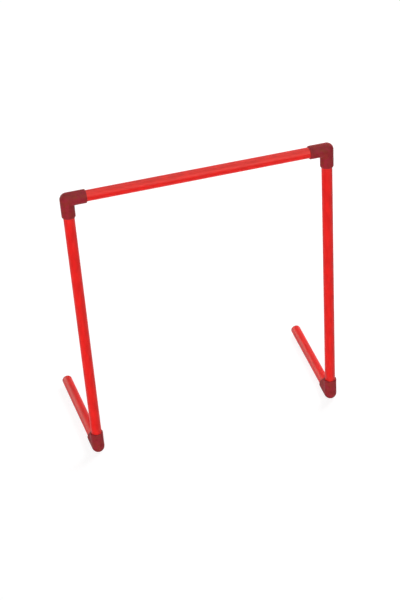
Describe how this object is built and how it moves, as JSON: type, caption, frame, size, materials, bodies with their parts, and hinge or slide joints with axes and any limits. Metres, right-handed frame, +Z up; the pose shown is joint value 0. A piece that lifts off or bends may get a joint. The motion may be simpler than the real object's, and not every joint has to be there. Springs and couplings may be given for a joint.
{
  "type": "agility hurdle",
  "caption": "Free-standing agility hurdle: a crossbar on tube uprights joined by moulded elbows, with swivelling feet that run back along the floor.",
  "frame": {"origin": "on the floor, at the middle of the ground that the hurdle covers, which is the bottom centre of its bounding box", "axes": "+Z up, +X along the crossbar to the right as seen from the front, +Y from the uprights back along the feet"},
  "size_m": [0.5174, 0.2494, 0.565],
  "materials": {
    "tube_plastic": "satin extruded plastic, bright red",
    "elbow_plastic": "dull moulded plastic, dark maroon red",
    "plug_plastic": "moulded plastic, red like the tubes"
  },
  "bodies": {
    "frame": {"crossbar": "tube_plastic", "left_upright": "tube_plastic", "right_upright": "tube_plastic", "left_top_elbow": "elbow_plastic", "right_top_elbow": "elbow_plastic"},
    "left_foot": {"left_bottom_elbow": "elbow_plastic", "left_foot_tube": "tube_plastic", "left_foot_plug": "plug_plastic"},
    "right_foot": {"right_bottom_elbow": "elbow_plastic", "right_foot_tube": "tube_plastic", "right_foot_plug": "plug_plastic"}
  },
  "joints": [
    {"name": "left_foot_swivel", "type": "hinge", "parent": "frame", "child": "left_foot", "pos_m": [-0.23689, -0.1121, 0.0125], "axis": [0, 0, 1], "continuous": true},
    {"name": "right_foot_swivel", "type": "hinge", "parent": "frame", "child": "right_foot", "pos_m": [0.23811, -0.1121, 0.0125], "axis": [0, 0, 1], "continuous": true}
  ]
}
